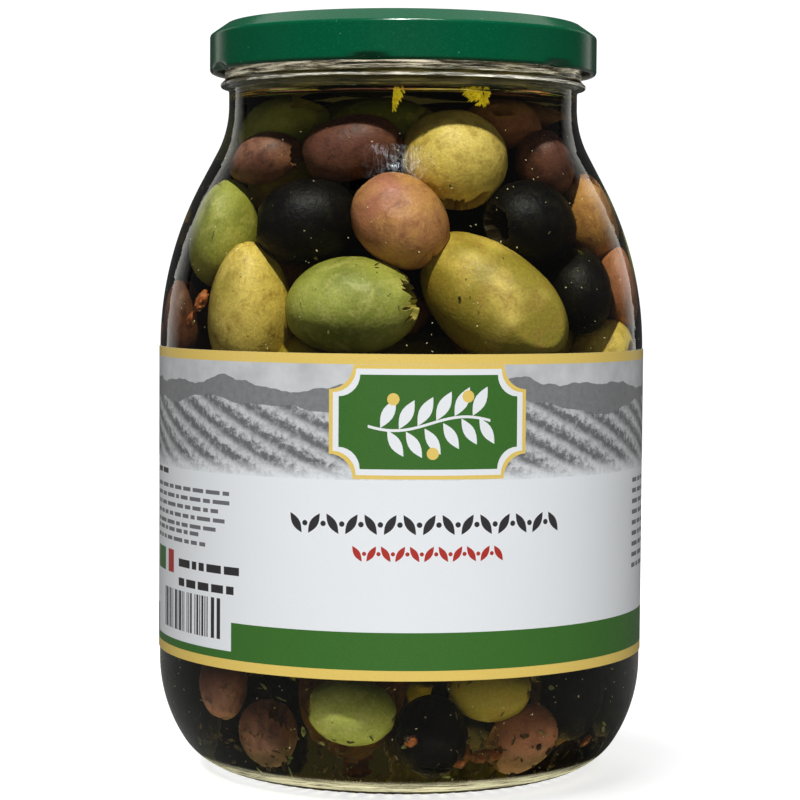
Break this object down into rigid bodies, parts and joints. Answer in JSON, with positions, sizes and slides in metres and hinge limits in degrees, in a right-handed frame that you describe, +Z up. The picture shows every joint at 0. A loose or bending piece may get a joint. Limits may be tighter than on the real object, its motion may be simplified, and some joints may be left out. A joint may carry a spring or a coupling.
{
  "type": "jar of olives",
  "caption": "Round glass jar with a narrow neck and a twist-off metal lid, wrapped in a paper label and filled with olives in oil.",
  "frame": {"origin": "centre of the ring that the jar stands on, at the table", "axes": "+Z up along the jar's axis, -Y towards the front of the label"},
  "size_m": [0.107, 0.107, 0.1627],
  "materials": {
    "glass": "clear soda-lime glass with a faint green tint",
    "lid_paint": "dark green satin lacquer on thin steel",
    "label_paper": "varnished printed paper in white, grey, green and gold",
    "oil": "clear golden-brown oil with whole olives sunk in it"
  },
  "bodies": {
    "root": {"glass_jar": "glass", "lid": "lid_paint", "label": "label_paper", "oil": "oil"}
  },
  "joints": []
}
